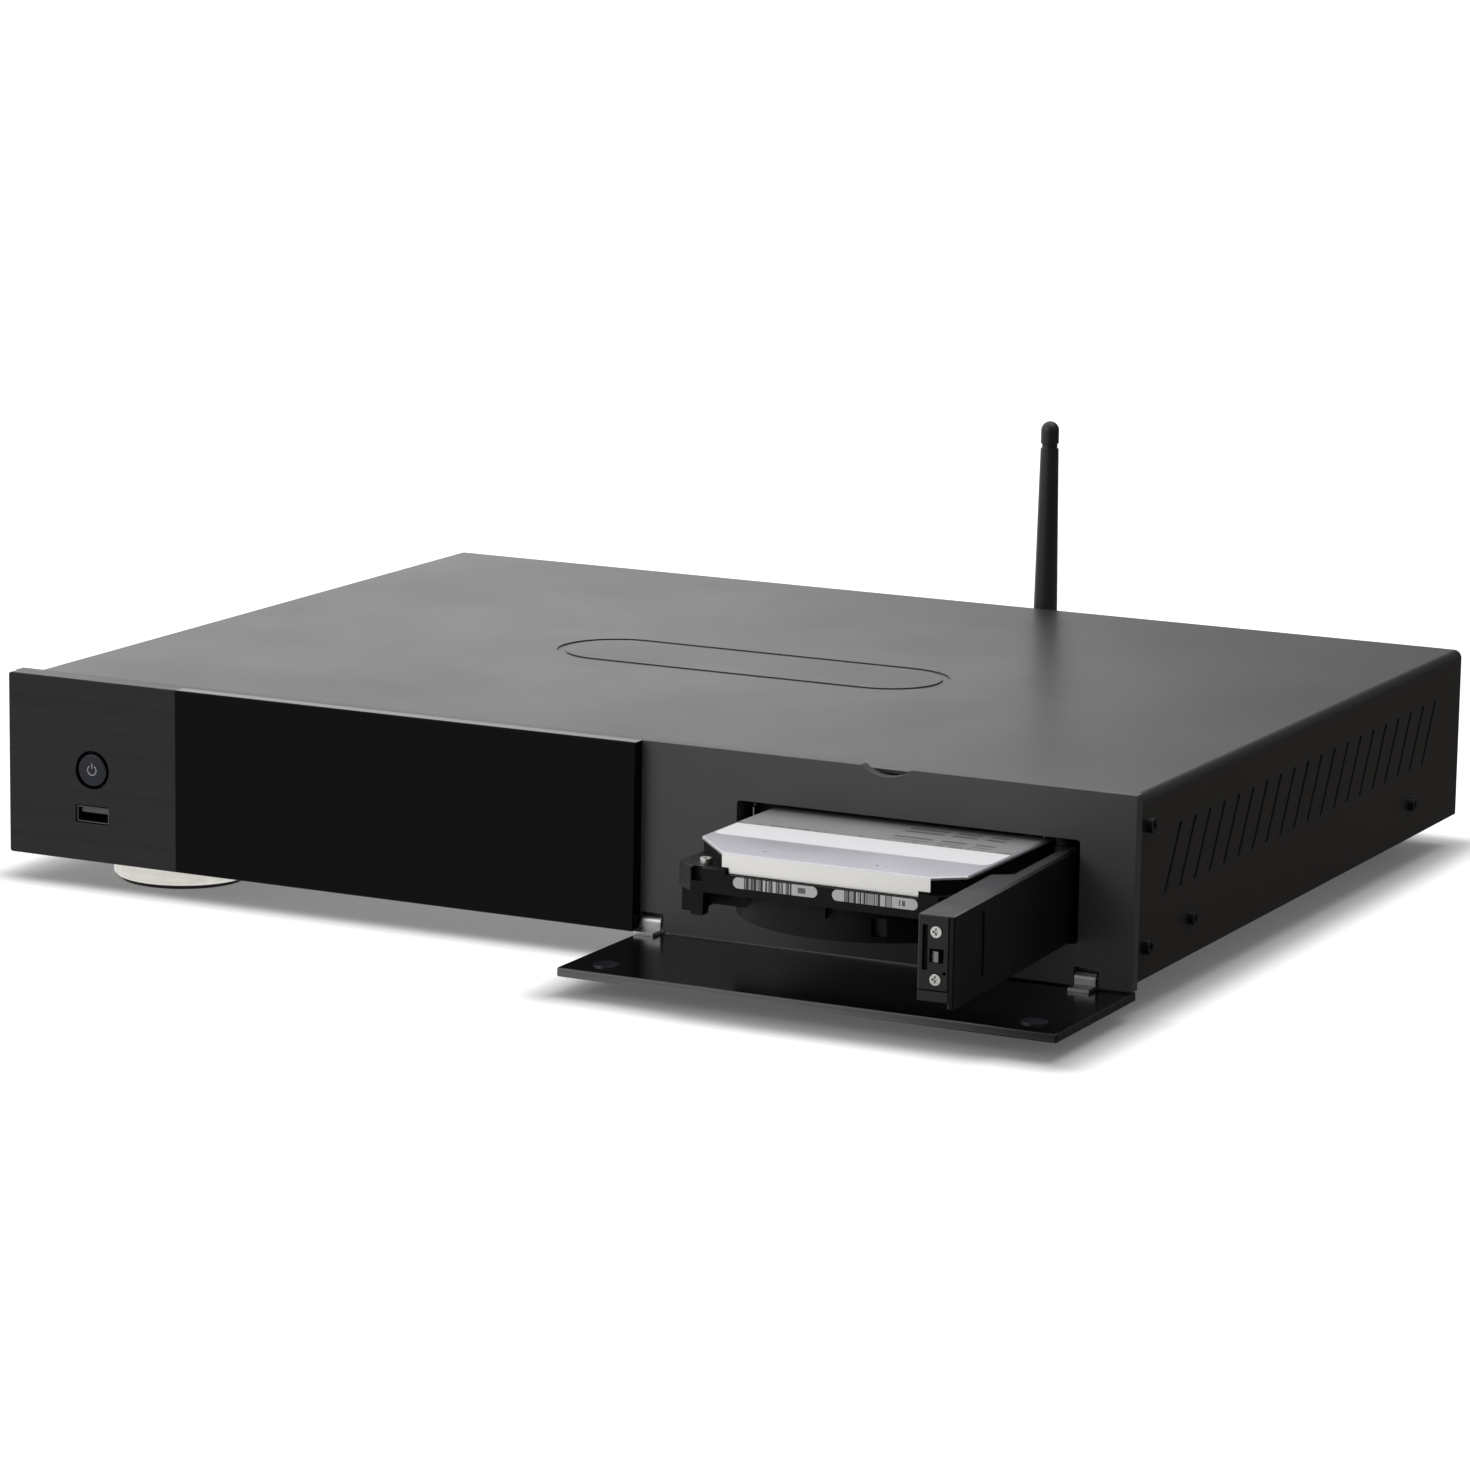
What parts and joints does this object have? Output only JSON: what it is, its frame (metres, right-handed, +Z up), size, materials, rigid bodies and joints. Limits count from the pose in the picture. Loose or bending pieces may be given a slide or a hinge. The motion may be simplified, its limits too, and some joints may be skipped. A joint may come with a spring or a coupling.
{
  "type": "media player",
  "caption": "Low home media player with a drop-down flap and a swinging rack door in front of a bay that takes a bare hard drive, with round feet and a rear antenna.",
  "frame": {"origin": "centre of the four feet, on the surface that the player stands on", "axes": "+X to the right seen from the front, +Y to the back, +Z up"},
  "size_m": [0.4316, 0.4413, 0.1445],
  "materials": {
    "case_paint": "fine satin powder coat",
    "chassis_steel": "zinc-plated sheet",
    "rear_paint": "satin black coat",
    "socket_plastic": "moulded, satin",
    "socket_metal": "plated shell",
    "brass_parts": "turned",
    "circuit_board": "green solder mask",
    "zinc_screws": "zinc plated",
    "black_screws": "black oxide",
    "component_plastic": "moulded",
    "heat_sink_metal": "extruded",
    "panel_paint": "dark grey powder coat",
    "fascia_metal": "dark anodised, brushed along its length",
    "window_gloss": "polished",
    "display_glass": "smoked",
    "button_metal": "dark anodised",
    "magnet_metal": "nickel plated",
    "pin_steel": "ground pin",
    "foot_metal": "satin turned",
    "foot_rubber": "matte",
    "rack_plastic": "moulded, satin",
    "cap_plastic": "moulded, satin",
    "door_face_plastic": "satin",
    "rail_plastic": "slick moulded",
    "flap_gloss": "gloss black coat",
    "arm_metal": "plated",
    "pad_metal": "satin disc",
    "drive_casting": "cast, charcoal coat",
    "drive_lid_steel": "satin sheet",
    "label_paper": "printed label",
    "antenna_plastic": "matte moulded"
  },
  "bodies": {
    "case": {"top_cover": "case_paint", "bottom_chassis": "chassis_steel", "rear_panel": "rear_paint", "network_jack": "socket_plastic", "hdmi_socket": "socket_metal", "rear_usb_sockets": "socket_metal", "audio_sockets": "socket_plastic", "mains_inlet": "socket_plastic", "board_standoffs": "brass_parts", "main_board": "circuit_board", "power_board": "circuit_board", "board_screws": "zinc_screws", "board_components": "component_plastic", "heat_sink": "heat_sink_metal", "front_panel": "panel_paint", "fascia_plate": "fascia_metal", "display_window": "window_gloss", "display_board": "circuit_board", "display_glass": "display_glass", "front_boards": "circuit_board", "power_switch": "component_plastic", "front_usb_socket": "socket_metal", "front_brackets": "chassis_steel", "panel_screws": "zinc_screws", "flap_magnets": "magnet_metal", "flap_hinge_pins": "pin_steel", "side_screws": "black_screws", "cover_screws": "black_screws", "foot_rings": "foot_metal", "foot_pads": "foot_rubber", "foot_screws": "zinc_screws", "rack_frame": "rack_plastic", "rack_door_pin": "pin_steel", "rack_cage": "chassis_steel", "guide_rails": "rail_plastic", "rubber_mounts": "foot_rubber", "mount_screws": "zinc_screws", "backplane": "circuit_board", "drive_socket": "socket_plastic", "antenna_connector": "brass_parts"},
    "flap": {"flap_panel": "flap_gloss", "flap_arms": "arm_metal", "flap_pads": "pad_metal"},
    "rack_door": {"rack_door_body": "rack_plastic", "rack_door_cap": "cap_plastic", "rack_door_face": "door_face_plastic", "rack_door_screws": "zinc_screws"},
    "rack_latch": {"latch_bolt": "pin_steel"},
    "hard_drive": {"drive_base": "drive_casting", "drive_cover": "drive_lid_steel", "drive_label": "label_paper", "drive_end_labels": "label_paper", "drive_board": "circuit_board", "drive_plug": "socket_plastic", "drive_screws": "zinc_screws"},
    "power_button": {"power_button": "button_metal"},
    "antenna_base": {"antenna_knuckle": "antenna_plastic", "antenna_pin": "pin_steel"},
    "antenna_mast": {"antenna_mast": "antenna_plastic"}
  },
  "joints": [
    {"name": "drive_slide", "type": "slide", "parent": "case", "child": "hard_drive", "axis": [0, -1, 0], "range_m": [-0.0798, 0.08]},
    {"name": "rack_door_hinge", "type": "hinge", "parent": "case", "child": "rack_door", "pos_m": [0.1862, -0.14825, 0], "axis": [0, 0, 1], "range_deg": [0, 10]},
    {"name": "rack_latch", "type": "slide", "parent": "rack_door", "child": "rack_latch", "axis": [-0.0523, 0.9986, 0], "range_m": [0, 0.0014], "stiffness_N_per_m": 150, "springref_m": -0.002},
    {"name": "flap_hinge", "type": "hinge", "parent": "case", "child": "flap", "pos_m": [0.12555, -0.15435, 0.0128], "axis": [-1, 0, 0], "range_deg": [0, 12]},
    {"name": "power_button_press", "type": "slide", "parent": "case", "child": "power_button", "axis": [0, 1, 0], "range_m": [0, 0.0009], "stiffness_N_per_m": 300, "springref_m": -0.001},
    {"name": "antenna_swivel", "type": "hinge", "parent": "case", "child": "antenna_base", "pos_m": [0.0398, 0.17325, 0.045], "axis": [0, 1, 0], "range_deg": [-90, 90]},
    {"name": "antenna_tilt", "type": "hinge", "parent": "antenna_base", "child": "antenna_mast", "pos_m": [0.0398, 0.17325, 0.045], "axis": [-1, 0, 0], "range_deg": [0, 90]}
  ]
}
